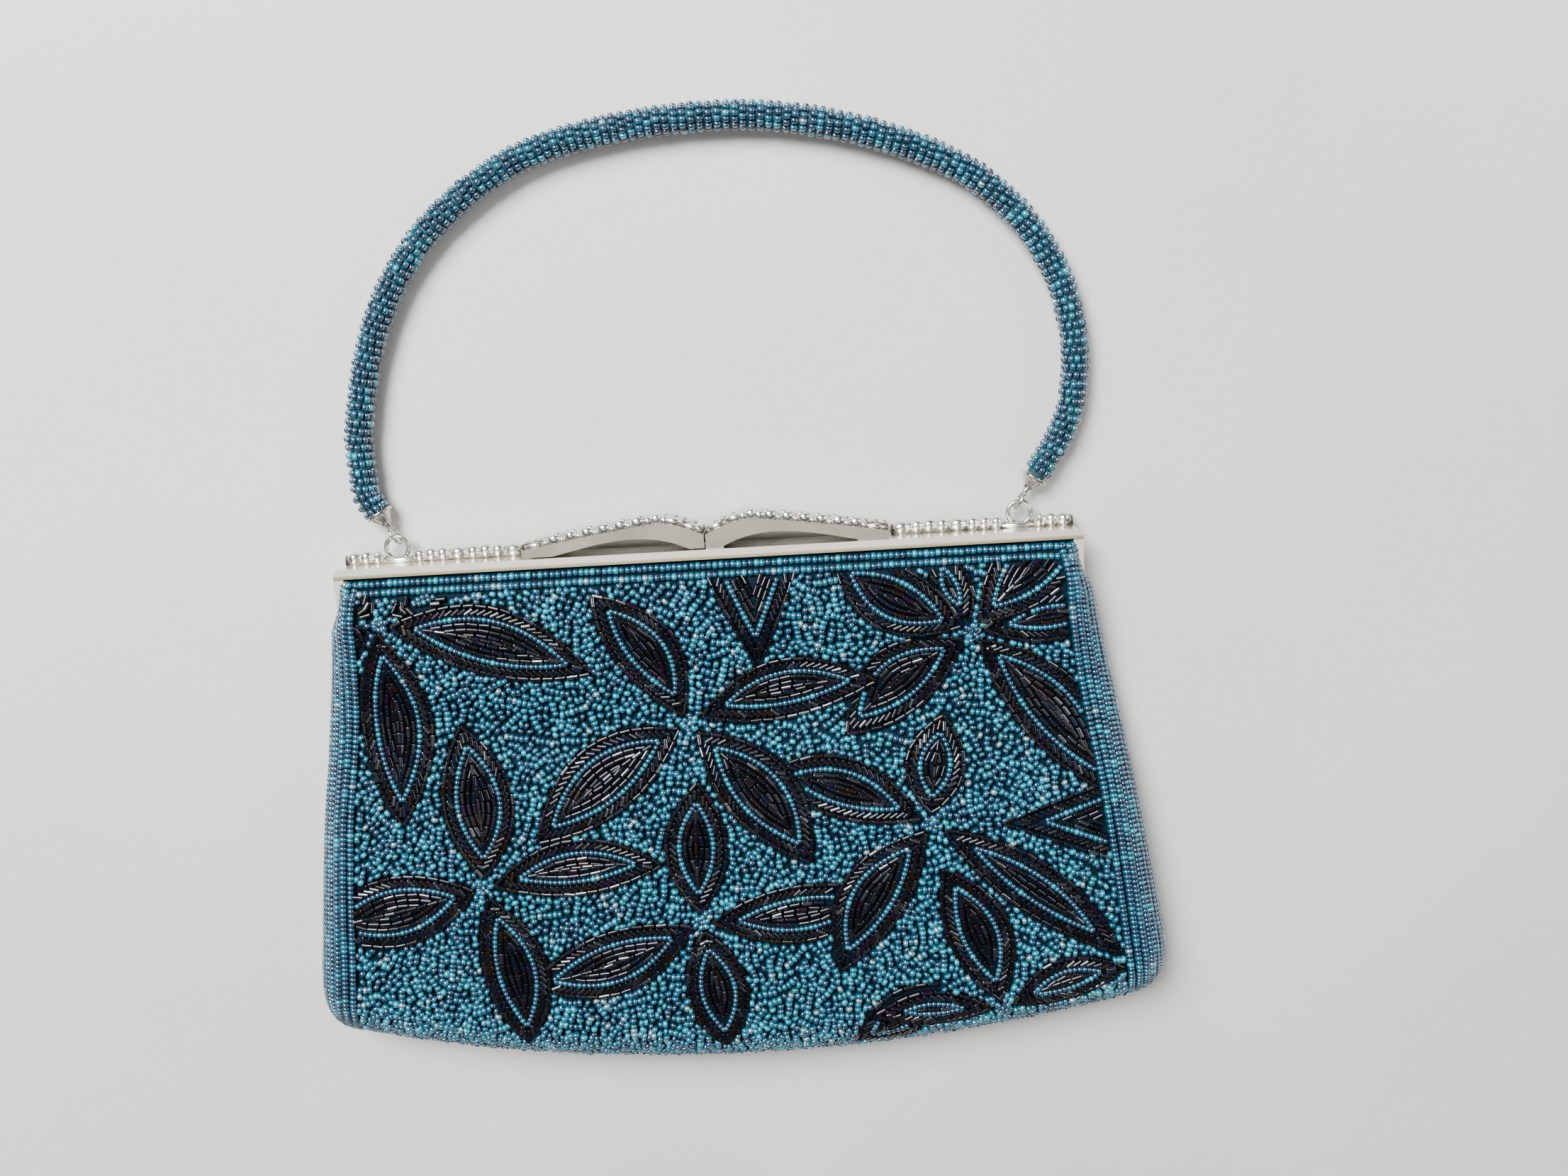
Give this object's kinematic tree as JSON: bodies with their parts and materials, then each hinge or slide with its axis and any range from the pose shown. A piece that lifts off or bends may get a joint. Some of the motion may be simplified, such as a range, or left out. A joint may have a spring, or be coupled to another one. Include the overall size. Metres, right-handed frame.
{
  "type": "evening bag",
  "caption": "Beaded evening bag with a hinged silver-tone frame, a two-wing snap clasp and a beaded rope handle, lying on its back.",
  "frame": {"origin": "on the underside of the back panel, in the middle of its width and half way down the 133 mm pouch", "axes": "+Z out of the front panel, +Y from the pouch to the handle, +X to the right as seen from the front"},
  "size_m": [0.2208, 0.2385, 0.0191],
  "materials": {
    "frame_metal": "silver-tone plate, softly worn",
    "ornament_metal": "cast silver-tone relief with darkened hollows",
    "ring_metal": "polished silver-tone wire and caps",
    "rivet_metal": "silver-tone rivets",
    "paper_cord": "twisted kraft paper",
    "beadwork": "teal glass seed beads and black glass bugle beads on satin",
    "handle_beads": "teal glass seed beads",
    "rope": "cotton rope wrapped in dark teal thread",
    "satin": "dark teal satin"
  },
  "bodies": {
    "root": {"back_frame": "frame_metal", "hinge_rivet_left": "rivet_metal", "hinge_rivet_right": "rivet_metal", "back_channel_cord": "paper_cord", "clasp_wing_left": "frame_metal", "wing_ornament_left": "ornament_metal", "end_ornament_left": "ornament_metal", "end_ornament_right": "ornament_metal", "ring_boss_left": "frame_metal", "ring_boss_right": "frame_metal", "frame_ring_left": "ring_metal", "frame_ring_right": "ring_metal", "back_panel": "beadwork", "back_panel_top": "beadwork", "front_panel": "beadwork", "back_lining": "satin", "front_lining": "satin", "slip_pocket": "satin"},
    "front_half": {"front_frame": "frame_metal", "front_channel_cord": "paper_cord", "clasp_wing_right": "frame_metal", "wing_ornament_right": "ornament_metal", "front_panel_top": "beadwork"},
    "handle": {"eye_pin_left": "ring_metal", "eye_pin_right": "ring_metal", "end_cap_left": "ring_metal", "end_cap_right": "ring_metal", "handle_core": "rope", "handle_beading": "handle_beads"}
  },
  "joints": [
    {"name": "frame_hinge", "type": "hinge", "parent": "root", "child": "front_half", "pos_m": [0, 0.0469, 0.00607], "axis": [1, 0, 0], "range_deg": [0, 65]},
    {"name": "handle_swing", "type": "hinge", "parent": "root", "child": "handle", "pos_m": [0, 0.0753, 0.0037], "axis": [1, 0, 0], "range_deg": [0, 105]}
  ]
}
